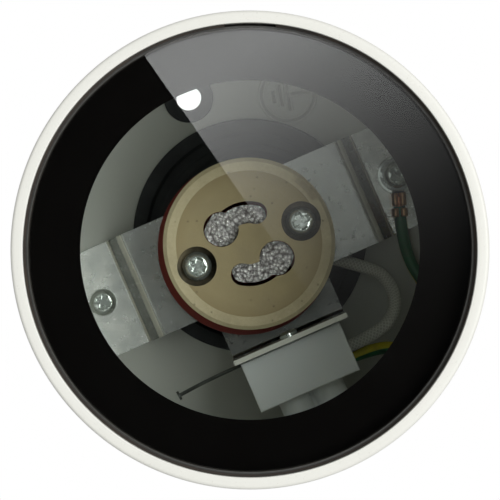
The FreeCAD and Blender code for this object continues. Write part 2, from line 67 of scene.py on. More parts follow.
# %% Shared sizes
can_low, can_high = box_of("housing")
rim = can_low[2]
can_radius = can_high[0]
glass_low, glass_high = box_of("front_glass")
glass_radius = glass_high[0]
glass_front, glass_back = glass_low[2], glass_high[2]
border_back = box_of("glass_border")[1][2]
shoulder = box_of("glass_gasket")[1][2]
floor = box_of("holder_bracket")[1][2]
holder_low, holder_high = box_of("holder_body")
holder_axis = (holder_low + holder_high)[:2] / 2
bracket_turn = math.radians(-23.5)
along = np.array([math.cos(bracket_turn), math.sin(bracket_turn), 0.0])
across = np.array([-math.sin(bracket_turn), math.cos(bracket_turn), 0.0])
up = np.array([0.0, 0.0, 1.0])
gasket_gap = 0.05
wall_thickness = 3.25
lip_radius = box_of("glass_gasket")[1][0] + gasket_gap
inner_radius = can_radius - wall_thickness
foot_face = floor - 0.8  # the bracket's sheet is 0.8 mm thick


def in_can(u, v, z):
    """A point given along and across the bracket from the holder's axis, in the can's millimetres."""
    return np.array([*holder_axis, 0.0]) + along * u + across * v + up * z


print("rim", round(rim, 2), "glass", round(glass_front, 2), "floor", round(floor, 2))

# %% [markdown]
# ## From arrays to pieces
# A surface is an array of points on a grid, so one helper can make its faces: each square of the grid
# is one quad, and a grid that goes all the way round joins its last column to its first. The mesh is
# filled from whole arrays, which is quick and keeps the formula of each shape in sight.


# %% Mesh helpers
def grid_faces(rows, columns, closed=True):
    """Quads of a grid: corner (i, j) joins its neighbours at i + 1 and at j + 1, wrapped when closed."""
    i, j = np.meshgrid(np.arange(rows - 1), np.arange(columns if closed else columns - 1), indexing="ij")
    k = (j + 1) % columns
    quads = np.stack([i * columns + j, i * columns + k, (i + 1) * columns + k, (i + 1) * columns + j], -1)
    return quads.reshape(-1, 4)


def shade(mesh, angle):
    """Smooth shading that stays sharp where two faces meet at more than the angle."""
    mesh.polygons.foreach_set("use_smooth", np.ones(len(mesh.polygons), bool))
    mesh.set_sharp_from_angle(angle=math.radians(angle))
    return mesh


def mesh_of(name, points, faces, uv=None):
    """A mesh from an array of points in millimetres and an array of faces, with a UV for each point."""
    mesh = bpy.data.meshes.new(name)
    mesh.from_pydata((np.reshape(points, (-1, 3)) * mm).tolist(), [], [list(map(int, f)) for f in faces])
    if uv is not None:
        corners = np.empty(len(mesh.loops), int)
        mesh.loops.foreach_get("vertex_index", corners)
        mesh.uv_layers.new(name="UVMap").data.foreach_set("uv", np.reshape(uv, (-1, 2))[corners].ravel())
    return mesh


def piece_of(name, mesh, body, finish, replaced=()):
    """An object that wears a finish and rides on a body, in place of the CAD nodes named."""
    piece = bpy.data.objects.new(name, mesh)
    bpy.context.scene.collection.objects.link(piece)
    mesh.materials.clear()
    mesh.materials.append(finish)
    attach(piece, body)
    if replaced:
        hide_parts(*replaced)
    print(f"{name}: {len(mesh.vertices)} points, {len(mesh.polygons)} faces")
    return piece


print("faces of a closed 2 by 4 grid:", grid_faces(2, 4).tolist())

# %% [markdown]
# Two small repairs come up again and again: a turned surface has many points at one place where it
# touches its axis, and some forms are made straight and then turned about the vertical.


# %% Welding and turning about Z
def welded(mesh):
    """The mesh with points that share a place merged, and its faces turned outwards."""
    work = bmesh.new()
    work.from_mesh(mesh)
    bmesh.ops.remove_doubles(work, verts=work.verts, dist=1e-6)
    bmesh.ops.dissolve_degenerate(work, dist=1e-7, edges=work.edges)
    bmesh.ops.recalc_face_normals(work, faces=work.faces)
    work.to_mesh(mesh)
    work.free()
    return mesh


def spun(points, degrees):
    """Points turned about the Z axis."""
    c, s = math.cos(math.radians(degrees)), math.sin(math.radians(degrees))
    return points @ np.array([[c, s, 0], [-s, c, 0], [0, 0, 1]])


print("x turned by 90 degrees:", spun(np.array([1.0, 0.0, 0.0]), 90).round(3))

# %% [markdown]
# ## Turned forms
# Most of this light is made on a lathe or in a round mould, so its pieces are an outline carried round
# an axis. Real edges are never quite sharp: a small arc at each corner of the outline catches the light
# as a painted or ground edge does.


# %% Outlines and turning
def eased(corners, radii, steps=6):
    """An outline whose inner corners are replaced by arcs, each tangent to its two sides."""
    corners = np.array(corners, float)
    radii = np.broadcast_to(radii, len(corners))
    out = [corners[:1]]
    for before, corner, after, radius in zip(corners, corners[1:], corners[2:], radii[1:-1]):
        a, b = before - corner, after - corner
        a, b = a / np.linalg.norm(a), b / np.linalg.norm(b)
        half = math.acos(np.clip(a @ b, -1, 1)) / 2
        if radius <= 0 or half > 1.55:
            out.append(corner[None])
            continue
        middle = corner + (a + b) / np.linalg.norm(a + b) * radius / math.sin(half)
        reach = radius / math.tan(half)
        first, last = corner + a * reach - middle, corner + b * reach - middle
        t = np.linspace(0, 1, steps + 1)[:, None]
        sweep = math.pi - 2 * half
        out.append(middle + (np.sin((1 - t) * sweep) * first + np.sin(t * sweep) * last) / math.sin(sweep))
    out.append(corners[-1:])
    return np.concatenate(out)


def turned(outline, sides=192, centre=(0.0, 0.0)):
    """Points of an outline (radius, height) carried round: x = r cos a, y = r sin a, z = height."""
    turn = np.linspace(0, 2 * math.pi, sides, endpoint=False)
    radius, height = np.array(outline, float).T[:, :, None]
    x = centre[0] + radius * np.cos(turn)
    y = centre[1] + radius * np.sin(turn)
    return np.stack([x, y, np.broadcast_to(height, x.shape)], -1)


def turned_mesh(name, outline, sides=192, centre=(0.0, 0.0)):
    """A turned surface as a mesh, welded where the outline touches the axis."""
    points = turned(outline, sides, centre)
    return welded(mesh_of(name, points, grid_faces(len(points), sides)))


print("a square corner eased by 1 mm:", eased([(0, 0), (2, 0), (2, 2)], 1.0, 2).round(2).tolist())

# %% [markdown]
# A drill leaves a hole by taking metal away, and a boolean cut does the same to a closed mesh. All the
# cutters are joined first, so each casting is cut once.


# %% Joining and carving
def joined(name, meshes):
    """One mesh that holds all the meshes."""
    work = bmesh.new()
    for mesh in meshes:
        work.from_mesh(mesh)
    whole = bpy.data.meshes.new(name)
    work.to_mesh(whole)
    work.free()
    return whole


def carved(mesh, cutters):
    """The mesh less the space of some cutters, each a closed mesh."""
    body = bpy.data.objects.new("carving", mesh)
    tool = bpy.data.objects.new("cutters", joined("cutters", cutters))
    for thing in (body, tool):
        bpy.context.scene.collection.objects.link(thing)
    cut = body.modifiers.new("cut", "BOOLEAN")
    cut.operation, cut.solver, cut.object = "DIFFERENCE", "EXACT", tool
    graph = bpy.context.evaluated_depsgraph_get()
    result = bpy.data.meshes.new_from_object(body.evaluated_get(graph))
    for thing in (body, tool):
        bpy.data.objects.remove(thing)
    return result


print("meshes so far:", len(bpy.data.meshes))

# %% [markdown]
# ## Writing finishes as sums
# A finish is a graph of nodes, but it is easier to read as arithmetic. The class below holds one socket,
# and Python's operators on it add the Math nodes, so that `0.4 + 0.1 * dust` says what it means.


# %% Signals
class Signal:
    """One value on its way through a finish."""

    def __init__(self, finish, socket):
        self.finish, self.socket = finish, socket

    def math(self, operation, *values, clamp=False):
        settings = {"operation": operation, "use_clamp": clamp}
        return self.finish.add("ShaderNodeMath", settings, values)[0]

    def __add__(self, other):
        return self.math("ADD", self, other)

    def __sub__(self, other):
        return self.math("SUBTRACT", self, other)

    def __rsub__(self, other):
        return self.math("SUBTRACT", other, self)

    def __mul__(self, other):
        return self.math("MULTIPLY", self, other)

    __radd__ = __add__
    __rmul__ = __mul__

    def between(self, low, high):
        """0 below the low value and 1 above the high one, with an even slope between."""
        return self.math("MULTIPLY", (self - low) * (1.0 / (high - low)), 1.0, clamp=True)

    def triangle(self):
        """A triangle wave: 0 at each whole number and 0.5 half way between two."""
        return self.math("PINGPONG", self, 0.5)


print("a signal knows:", [name for name in vars(Signal) if not name.startswith("_")])

# %% [markdown]
# A finish is built from the coordinates up: a pattern is laid over the piece, its values are stretched
# into masks, the masks blend colours, and one shader closes the graph.


# %% Finishes
class Finish:
    """A material, or a light's shader, that is built up node by node."""

    def __init__(self, name, tree=None):
        if tree is None:
            self.material = bpy.data.materials.new(name)
            self.material.use_nodes = True
            tree = self.material.node_tree
        self.tree = tree
        tree.nodes.clear()

    def add(self, kind, settings=None, values=()):
        """Adds a node: its settings first, then the numbers or links of its sockets."""
        node = self.tree.nodes.new(kind)
        for key, value in (settings or {}).items():
            setattr(node, key, value)
        pairs = values.items() if isinstance(values, dict) else enumerate(values)
        for key, value in pairs:
            socket = node.inputs[key]
            if isinstance(value, Signal):
                self.tree.links.new(value.socket, socket)
            elif socket.type == "RGBA":
                socket.default_value = (*value, 1.0)
            elif value is not None:
                socket.default_value = value
        return [Signal(self, socket) for socket in node.outputs]

    def place(self, kind="Object", scale=(1, 1, 1), turn=0.0):
        """Coordinates in millimetres of the piece, or its UV map, turned about Z and stretched."""
        source = self.add("ShaderNodeTexCoord")[{"Object": 3, "UV": 2}[kind]]
        unit = 1000.0 if kind == "Object" else 1.0
        size = tuple(unit * s for s in scale)
        values = {"Vector": source, "Rotation": (0, 0, turn), "Scale": size}
        return self.add("ShaderNodeMapping", None, values)[0]

    def axes(self, kind="Object"):
        """The coordinates as three signals, x, y and z."""
        return self.add("ShaderNodeSeparateXYZ", None, [self.place(kind)])

    def noise(self, scale, detail=3.0, rough=0.5, where=None):
        """Soft clouds, as many for each millimetre as the scale says."""
        where = where or self.place()
        values = {"Vector": where, "Scale": scale, "Detail": detail, "Roughness": rough}
        return self.add("ShaderNodeTexNoise", None, values)[0]

    def cells(self, scale):
        """How far the nearest of many scattered points is."""
        return self.add("ShaderNodeTexVoronoi", None, {"Vector": self.place(), "Scale": scale})[0]

    def blend(self, first, second, mask):
        """The first colour where the mask is 0 and the second where it is 1."""
        values = {0: mask, 6: first, 7: second}
        return self.add("ShaderNodeMix", {"data_type": "RGBA"}, values)[2]

    def bump(self, height, distance, strength=1.0, under=None):
        """Relief: the distance is in millimetres."""
        values = {"Height": height, "Distance": distance * mm, "Strength": strength}
        if under is not None:
            values["Normal"] = under
        return self.add("ShaderNodeBump", None, values)[0]

    def surface(self, **values):
        """Closes the finish with one Principled shader. Underscores in a name stand for spaces."""
        named = {key.replace("_", " "): value for key, value in values.items()}
        shader = self.add("ShaderNodeBsdfPrincipled", None, named)[0]
        self.add("ShaderNodeOutputMaterial", None, {"Surface": shader})
        print("finish", self.material.name, "has", len(self.tree.nodes), "nodes")
        return self.material


def from_axis(x, y):
    """How far a place is from the axis that x and y are measured from."""
    return x.math("SQRT", x * x + y * y)


print("a finish knows:", [name for name in vars(Finish) if not name.startswith("_")])

# %% [markdown]
# ## Cast metal under paint
# The can is a die casting with a warm white polyester coat. Such paint flows a little before it sets, so
# it has a faint orange peel, and where it thins the gloss changes. Two sizes of noise give both, and the
# colour drifts by a few percent only. Inside the can the coat is painted darker, as painted shade: a mask
# of depth and of distance from the axis keeps that off the rim and the outside.

# %% Painted casting
def painted(name, grooved=False):
    """The coat. On a cast sign, the middle of the groove, half way across its UV map, is darker: dust and
    painted shade.
    """
    paint = Finish(name)
    peel = paint.noise(0.9, 2.0)
    drift = paint.noise(0.05, 3.0)
    speck = paint.noise(3.5, 2.0).between(0.66, 0.74)
    coat = paint.blend((0.745, 0.745, 0.690), (0.800, 0.800, 0.745), drift)
    coat = paint.blend(coat, (0.55, 0.54, 0.49), 0.35 * speck)
    x, y, z = paint.axes()
    outer_wall = from_axis(x, y).between(33.6, 34.2)
    # Painted shade: deep inside the can the coat is painted darker.
    inside = z.between(-90.0, -60.0) * (z * -1.0).between(1.5, 2.5) * (1.0 - outer_wall)
    coat = paint.blend(coat, (0.52, 0.525, 0.475), 0.75 * inside)
    if grooved:
        # Dust and painted shade: the middle of the sign's line, between its lips, is painted darker.
        across_line = paint.axes("UV")[0]
        middle = 1.0 - across_line.math("ABSOLUTE", across_line - 0.5).between(0.10, 0.22)
        coat = paint.blend(coat, (0.36, 0.355, 0.32), 0.85 * middle)
    relief = paint.bump(peel, 0.05, 0.35)
    return paint.surface(Base_Color=coat, Roughness=0.34 + 0.12 * drift, Normal=relief)


cast_paint = painted("cast_paint")
sign_paint = painted("sign_paint", grooved=True)

# %% [markdown]
# ## Rubber
# Two rubbers are used: a dark grey one for the cable plug and the bushes, with bloom and dust that make
# it dull and blotchy, and an almost black one for the gasket round the glass.


# %% Rubbers
def rubber(name, dark, dusty):
    """A dull rubber: dust gathers in blotches, and the skin has a fine grain."""
    skin = Finish(name)
    blotch = skin.noise(0.25, 5.0, 0.6)
    grain = skin.noise(4.0, 2.0)
    tone = skin.blend(dark, dusty, blotch.between(0.35, 0.75))
    return skin.surface(
        Base_Color=tone,
        Roughness=0.62 + 0.2 * blotch,
        Specular_IOR_Level=0.35,
        Normal=skin.bump(grain, 0.03, 0.5),
    )


plug_rubber = rubber("plug_rubber", (0.030, 0.032, 0.035), (0.060, 0.062, 0.066))
gasket_rubber = rubber("gasket_rubber", (0.018, 0.014, 0.011), (0.040, 0.030, 0.022))

# %% [markdown]
# ## Zinc-coated steel
# Sheet steel with a zinc coat is grey and cloudy, with fine rolling lines along the strip. The lines are
# a noise stretched 75 times longer than it is wide, turned with the bracket. Light and shade on the bracket
# are painted: painted highlights along the bends and the tab's edge, and painted shade on the platform, the
# slopes between the bends and the arm. These follow mostly from the height above the can's floor, where the
# bracket stands.


# %% Zinc sheet and screws
def zinc(name, light, shadow, rough, metal=1.0, line_turn=0.0, lines=0.25, painted_light_and_shade=False):
    """Plated steel: clouds in the plating, rolling lines along one way, and small stains.

    With painted light and shade, the platform, slopes and arm get painted shade, the bends and tab edge
    painted highlights.
    """
    plate = Finish(name)
    cloud = plate.noise(0.30, 5.0, 0.62)
    roll = plate.noise(1.0, 2.0, where=plate.place(scale=(0.04, 3.0, 0.6), turn=line_turn))
    stain = plate.noise(0.8, 4.0, 0.65).between(0.56, 0.70)
    tone = plate.blend(shadow, light, cloud.between(0.35, 0.65))
    tone = plate.blend(tone, shadow, 0.35 * roll.between(0.45, 0.65))
    tone = plate.blend(tone, (0.20, 0.195, 0.18), 0.18 * stain)
    if painted_light_and_shade:
        x, y, z = plate.axes()
        (axis_x, axis_y), (side_x, side_y) = holder_axis.tolist(), across.tolist()[:2]
        out = (x - axis_x) * side_x + (y - axis_y) * side_y
        depth = z * -1.0
        height = depth + float(floor)
        raised = depth.between(7.5, 12.0)
        slope = height.between(1.0, 1.9) * height.between(7.3, 6.7)
        upper_bend = height.between(6.7, 7.1) * height.between(7.98, 7.9)
        lower_bend = height.between(0.83, 0.9) * height.between(2.0, 1.3)
        # Painted highlights: the bends and the tab's edge are painted near white and made less metallic.
        painted_highlight = upper_bend + lower_bend + height.between(29.7, 29.95)
        arm = raised * out.between(6.5, 12.5) * depth.between(20.0, 16.0)
        # Painted shade: the platform is painted darker, the slopes darker still, and the arm, in the tab's
        # shadow, darkest.
        tone = plate.blend(tone, (0.24, 0.24, 0.23), 0.58 * raised)
        tone = plate.blend(tone, (0.07, 0.07, 0.065), 0.8 * slope)
        tone = plate.blend(tone, (0.92, 0.90, 0.80), 0.9 * painted_highlight)
        tone = plate.blend(tone, (0.05, 0.05, 0.045), 0.7 * arm)
        metal = metal - 0.8 * painted_highlight
    return plate.surface(
        Base_Color=tone,
        Metallic=metal - 0.2 * cloud,
        Roughness=rough + 0.07 * cloud + 0.04 * stain,
        Normal=plate.bump(roll, 0.03, lines, under=plate.bump(cloud, 0.04, 0.08)),
    )


sheet_zinc = zinc("sheet_zinc", (0.80, 0.80, 0.75), (0.62, 0.63, 0.60), 0.22, 1.0, -bracket_turn, 0.12, True)
screw_zinc = zinc("screw_zinc", (0.74, 0.78, 0.74), (0.58, 0.62, 0.58), 0.12, 0.85, lines=0.1)
pin_steel = zinc("pin_steel", (0.16, 0.17, 0.16), (0.07, 0.075, 0.07), 0.30)

# %% [markdown]
# ## Contacts
# The contacts are knurled: they are covered in small raised lumps. Two sizes of cells, one on the other,
# give the lumps their height, and paint the lumps near white as painted glints and the gaps dark as painted
# shade.

# %% Contacts
contact = Finish("contact_metal")
facets = contact.cells(1.7)
sparkle = contact.cells(3.6)
shape = facets + 0.45 * sparkle
# Painted glints on the lumps and painted shade in the gaps between them.
tone = contact.blend((0.92, 0.89, 0.87), (0.25, 0.22, 0.22), shape.between(0.30, 1.05))
contact_metal = contact.surface(
    Base_Color=tone,
    Metallic=0.75 - 0.4 * facets.between(0.2, 0.6),
    Roughness=0.20 + 0.2 * sparkle,
    Normal=contact.bump(1.0 - shape, 0.22, 0.8),
)

# %% [markdown]
# ## Ceramic
# The holder is pressed steatite, fired without glaze: matt, the colour of putty, with a sandy grain,
# tiny pits and a darker face inside its rim, with painted shade in that face's corner. Its screw wells are
# painted near black as painted shade. Object coordinates keep the grain fixed to it, and three masks of
# depth and reach find these places.

# %% Holder ceramic
stone = Finish("holder_ceramic")
sand = stone.noise(2.2, 6.0, 0.7)
pit = 1.0 - stone.cells(0.55).between(0.05, 0.13)
smudge = stone.noise(0.16, 4.0, 0.6)
x, y, z = stone.axes()
reach = from_axis(x - float(holder_axis[0]), y - float(holder_axis[1]))
depth = z - float(holder_low[2])
sunk = depth.between(0.35, 0.65) * (1.0 - reach.between(11.55, 11.75))
# Painted shade in the corner where the sunk face meets the rim.
corner = reach.between(9.6, 11.6) * sunk
# Painted shade: the screw wells, deep in the holder, are painted near black.
deep = depth.between(1.1, 2.6) * (1.0 - reach.between(12.9, 13.2))
clay = stone.blend((0.68, 0.565, 0.345), (0.77, 0.655, 0.43), sand.between(0.3, 0.7))
clay = stone.blend(clay, (0.44, 0.33, 0.160), 0.68 * sunk)
clay = stone.blend(clay, (0.36, 0.28, 0.15), 0.35 * corner)
clay = stone.blend(clay, (0.030, 0.026, 0.016), 0.93 * deep)
clay = stone.blend(clay, (0.45, 0.36, 0.22), 0.6 * smudge.between(0.45, 0.75))
clay = stone.blend(clay, (0.16, 0.12, 0.07), 0.5 * pit)
holder_ceramic = stone.surface(
    Base_Color=clay,
    Roughness=0.62 + 0.14 * sand,
    Specular_IOR_Level=0.4,
    Normal=stone.bump(sand - 0.8 * pit, 0.06, 0.6),
)

# %% [markdown]
# ## Insulation
# The disc under the holder is a dark red pressed board, and the block is a milky moulded plastic that
# lets a little light through its skin.

# %% Board and plastic
board = Finish("red_board")
fibre = board.noise(1.6, 5.0, 0.65)
red = board.blend((0.21, 0.018, 0.014), (0.34, 0.040, 0.030), fibre)
red_board = board.surface(
    Base_Color=red,
    Roughness=0.42 + 0.2 * fibre,
    Normal=board.bump(fibre, 0.05, 0.4),
)

moulded = Finish("white_plastic")
swirl = moulded.noise(0.16, 3.0)
grain = moulded.noise(3.0, 2.0)
milk = moulded.blend((0.90, 0.94, 0.93), (0.96, 0.965, 0.95), swirl)
white_plastic = moulded.surface(
    Base_Color=milk,
    Roughness=0.36 + 0.1 * swirl,
    Subsurface_Weight=0.15,
    Subsurface_Radius=(1.0, 0.9, 0.8),
    Subsurface_Scale=1.0 * mm,
    Normal=moulded.bump(grain, 0.02, 0.3),
)

# %% [markdown]
# ## Leads, brass and copper
# The lamp leads wear a woven glass sleeve. Its UV runs once round it in U, and along it in V, one unit for
# each millimetre, so the weave follows every bend. Ridges that climb to the left and to the right are two
# triangle waves, and the higher of the two is on top.

# %% Woven sleeve
weave = Finish("white_sleeve")
round_it, along_it = weave.axes("UV")[:2]
yarns_round, yarns_per_mm = 8.0, 1.6
left = (yarns_round * round_it + yarns_per_mm * along_it).triangle()
right = (yarns_round * round_it - yarns_per_mm * along_it).triangle()
ridge = left.math("MAXIMUM", left, right) * 2.0
grime = weave.noise(0.35, 3.0)
yarn = weave.blend((0.62, 0.61, 0.55), (0.90, 0.89, 0.83), ridge.between(0.45, 0.95))
yarn = weave.blend(yarn, (0.52, 0.50, 0.42), 0.4 * grime.between(0.5, 0.8))
white_sleeve = weave.surface(
    Base_Color=yarn,
    Roughness=0.7 + 0.1 * grime,
    Sheen_Weight=0.2,
    Normal=weave.bump(ridge, 0.06, 0.8),
)

# %% [markdown]
# The earth lead is half green and half yellow. One triangle wave round it tells the two sides apart, and
# it turns a little with each millimetre, as the stripes of a real lead do.

# %% Striped insulation
stripe = Finish("earth_insulation")
round_it, along_it = stripe.axes("UV")[:2]
stripe_start, turns_per_mm = 0.81, 0.0106
wave = (round_it + stripe_start - turns_per_mm * along_it).triangle()
green_side = (2.0 * wave).between(0.48, 0.52)
wear = stripe.noise(0.6, 4.0)
skin = stripe.blend((0.70, 0.60, 0.012), (0.012, 0.16, 0.055), green_side)
skin = stripe.blend(skin, (0.10, 0.09, 0.05), 0.3 * wear.between(0.5, 0.8))
earth_insulation = stripe.surface(
    Base_Color=skin,
    Roughness=0.32 + 0.15 * wear,
    Normal=stripe.bump(wear, 0.02, 0.3),
)

# %% [markdown]
# Brass and bare copper differ in colour and in polish only, so one helper makes both.


# %% Brass and copper
def warm_metal(name, bright, dull, rough):
    """Brass or copper: bright where it was worn, brown where it was not."""
    metal = Finish(name)
    tarnish = metal.noise(0.9, 5.0, 0.65)
    tone = metal.blend(bright, dull, tarnish.between(0.4, 0.7))
    return metal.surface(
        Base_Color=tone,
        Metallic=1.0,
        Roughness=rough + 0.2 * tarnish,
        Normal=metal.bump(tarnish, 0.04, 0.3),
    )


terminal_brass = warm_metal("terminal_brass", (0.75, 0.45, 0.25), (0.42, 0.23, 0.12), 0.22)
bare_copper = warm_metal("bare_copper", (0.82, 0.42, 0.26), (0.45, 0.20, 0.11), 0.20)

# %% [markdown]
# ## Clear glass
# A pane shows two things at once: what is behind it and, more and more towards a grazing look, what is
# in front of it. Mixing a clear shader and a mirror by the Fresnel law gives exactly that, and lets
# light through without the noise that a refracting pane would bring.

# %% Glass, its ground edge and the border fired on its back
pane = Finish("clear_glass")
weight = pane.add("ShaderNodeFresnel", None, {"IOR": 1.5})[0]
clear = pane.add("ShaderNodeBsdfTransparent", None, {"Color": (0.965, 0.985, 0.975)})[0]
mirror = pane.add("ShaderNodeBsdfGlossy", None, {"Roughness": 0.0, "Color": (1.0, 1.0, 1.0)})[0]
mixed = pane.add("ShaderNodeMixShader", None, [weight, clear, mirror])[0]
pane.add("ShaderNodeOutputMaterial", None, {"Surface": mixed})
clear_glass = pane.material
print("glass has", len(pane.tree.nodes), "nodes")

ground = Finish("ground_edge")
frost = ground.noise(2.5, 4.0, 0.7)
edge = ground.blend((0.055, 0.055, 0.052), (0.14, 0.14, 0.135), frost)
ground_edge = ground.surface(
    Base_Color=edge,
    Roughness=0.35 + 0.2 * frost,
    Normal=ground.bump(frost, 0.02, 0.5),
)

enamel = Finish("black_enamel")
pinhole = enamel.noise(0.12, 2.0)
black = enamel.blend((0.0045, 0.0038, 0.0036), (0.0060, 0.0052, 0.0050), pinhole)
black_enamel = enamel.surface(Base_Color=black, Roughness=0.55 + 0.2 * pinhole, Specular_IOR_Level=0.0)

# %% [markdown]
# ## The can
# The casting is one turned outline, from the middle of its floor out along the shoulder and the rim and
# back over the mounting side. Its holes are cut afterwards, as a drill would, with turned cutters.

# %% Can
recess_depth, recess_wall = 4.6, 4.25
back = floor + recess_depth
rear_radius = can_radius - recess_wall
outline = eased(
    [
        (0, floor),
        (inner_radius, floor),
        (inner_radius, shoulder),
        (lip_radius, shoulder),
        (lip_radius, rim),
        (can_radius, rim),
        (can_radius, 0),
        (rear_radius, 0),
        (rear_radius, back),
        (0, back),
    ],
    [0, 0.8, 0.2, 0.1, 0.10, 0.5, 0.25, 0.3, 0.3, 0],
)
plug_low, plug_high = box_of("cable_membrane")
plug_centre = (plug_low + plug_high)[:2] / 2
plug_brim = (plug_high - plug_low)[0] / 2
plug_neck = plug_brim - 1.2


def hole(radius, centre, low, high, sides=96):
    """A cutter: a closed turned cylinder."""
    corners = [(0, low), (radius, low), (radius, high), (0, high)]
    return turned_mesh("cutter", corners, sides, centre)


bushes = [(sum(box_of(f"fixing_grommet_{n}")) / 2)[:2] for n in (1, 2)]
feet = [(sum(box_of(name)) / 2)[:2] for name in ("foot_screw", "earth_screw")]
bush_hole, screw_hole, screw_hole_depth, overrun = 3.25, 1.5, 4.0, 2
cutters = [hole(plug_neck + 0.05, plug_centre, floor - overrun, back + overrun, 192)]
cutters += [hole(bush_hole, p, floor - overrun, back + overrun) for p in bushes]
cutters += [hole(screw_hole, p, floor - overrun, floor + screw_hole_depth) for p in feet]
can_mesh = carved(turned_mesh("can_casting", outline, 256), cutters)
piece_of("can_casting", shade(can_mesh, 30), "can", cast_paint, ["housing"])

# %% [markdown]
# ## The earth sign
# A sign in a casting mould leaves a line with a lip on each side. The line's cross section is a row of
# heights, and it is carried along a circle and along straight bars, on the floor beside the earth screw.


# %% Earth sign
def raised_line(path, across_path):
    """The lip section carried along a path: point = path + offset across it + height towards -Z."""
    offset = np.array([-0.62, -0.5, -0.36, -0.2, 0.0, 0.2, 0.36, 0.5, 0.62])
    height = np.array([-0.02, 0.11, 0.16, 0.03, 0.0, 0.03, 0.16, 0.11, -0.02])
    points = path[:, None] + across_path[:, None] * offset[:, None] - up * height[:, None]
    u, v = np.meshgrid(np.linspace(0, 1, len(offset)), np.arange(len(path)))
    faces = grid_faces(len(path), len(offset), closed=False)[:, ::-1]
    return mesh_of("line", points, faces, np.stack([u, v], -1))


sign_radius, sign_turn = 4.35, 170
sign_place = np.array([6.2, -25.6, floor])
turn = np.linspace(0, 2 * math.pi, 97)
around = np.stack([np.cos(turn), np.sin(turn), 0 * turn], -1)
lines = [raised_line(sign_radius * around, around)]
share = np.linspace(0, 1, 12)[:, None]
stem = ((-1, 0), (0, 0))
bars = [((x, -half), (x, half)) for x, half in ((0, 0.62), (0.27, 0.42), (0.54, 0.24))]
for start, end in (stem, *bars):
    first, last = sign_radius * np.array([*start, 0.0]), sign_radius * np.array([*end, 0.0])
    run = (last - first) / np.linalg.norm(last - first)
    side = np.broadcast_to(np.cross(run, up), (len(share), 3))
    lines.append(raised_line(first + share * (last - first), side))
sign_mesh = joined("earth_sign", lines)
places = np.empty(len(sign_mesh.vertices) * 3)
sign_mesh.vertices.foreach_get("co", places)
places = spun(places.reshape(-1, 3), sign_turn) + sign_place * mm
sign_mesh.vertices.foreach_set("co", places.ravel())
piece_of("earth_sign", shade(sign_mesh, 60), "can", sign_paint)

# %% [markdown]
# ## The cable plug
# The plug is one turned rubber piece. Its face inside the can has a broad flange, a step and a thin
# sunk skin with two moulded rings, which show as soft circles behind the holder.

# %% Cable plug
plug_skin = [(0, 0.55), (5.0, 0.55), (5.3, 0.75), (6.1, 0.75), (6.4, 0.45), (13.6, 0.15)]
plug_step = [(14.0, 0.3), (14.9, 0.3), (15.2, 0.1), (16.6, 0.1)]
plug_flange = [(17.0, 1.0), (plug_brim, 1.0), (plug_brim, 0)]
outline = [(radius, floor - height) for radius, height in plug_skin + plug_step + plug_flange]
outline += [(plug_neck, floor), (plug_neck, back), (plug_brim - 0.4, back)]
outline += [(plug_neck, back + 0.8), (0, back + 0.8)]
arcs = [0, 0.3, 0.2, 0.2, 0.3, 0.3, 0.2, 0.2, 0.3, 0.3, 0.3, 0.35, 0.05, 0.05, 0.05, 0.1, 0.2, 0]
outline = eased(outline, arcs, 4)
plug_mesh = turned_mesh("cable_plug", outline, 128, plug_centre)
piece_of("cable_plug", shade(plug_mesh, 50), "can", plug_rubber, ["cable_membrane"])

# %% [markdown]
# ## Fixing bushes
# A bush lines each fixing hole: a sleeve through the casting, with a collar on the inside of the floor.
# The outline starts and ends inside the bore, so that the bore is closed.

# %% Fixing bushes
bore, sleeve, collar, collar_height = 2.075, 3.2, 4.1, 1
section = [(bore, floor + 1), (bore, floor - collar_height), (collar, floor - collar_height), (collar, floor)]
section += [(sleeve, floor), (sleeve, 0), (bore, 0), (bore, floor + 1)]
outline = eased(section, [0, 0.35, 0.35, 0.05, 0.05, 0.1, 0.1, 0], 4)
for n, centre in enumerate(bushes, 1):
    bush_mesh = turned_mesh(f"fixing_bush_{n}", outline, 96, centre)
    bush = f"fixing_grommet_{n}"
    piece_of(f"fixing_bush_{n}", shade(bush_mesh, 50), "can", plug_rubber, [bush])

# %% [markdown]
# ## The glass unit
# The pane is a thick disc with its front edge ground to a bevel. The border is fired on its back, so it
# is a film just behind the clear glass, and its black is seen through the pane.

# %% Glass unit
bevel = 0.35
corners = [(0, glass_front), (glass_radius - bevel, glass_front), (glass_radius, glass_front + bevel)]
corners += [(glass_radius, glass_back), (0, glass_back)]
pane_mesh = turned_mesh("pane", corners, 256)
piece_of("pane", shade(pane_mesh, 20), "glass_unit", clear_glass, ["front_glass"])
pane_mesh.materials.append(ground_edge)
centres = np.empty(len(pane_mesh.polygons) * 3)
pane_mesh.polygons.foreach_get("center", centres)
reach = np.hypot(*centres.reshape(-1, 3).T[:2]) / mm
pane_mesh.polygons.foreach_set("material_index", (reach > glass_radius - bevel).astype(int))

film_radius, window_radius = glass_radius - bevel, 25.0
film_front = glass_back + 0.03
corners = [(window_radius, film_front), (film_radius, film_front), (film_radius, border_back)]
corners += [(window_radius, border_back), (window_radius, film_front)]
film_mesh = turned_mesh("border_film", corners, 256)
film_mesh = shade(film_mesh, 30)
piece_of("border_film", film_mesh, "glass_unit", black_enamel, ["glass_border"])

# %% [markdown]
# ## Leads
# A lead is soft, so it is drawn as a smooth spline through the same points as the CAD's route. The tube
# is a circle carried along that spline: at each sample, two directions square to the tangent span it.


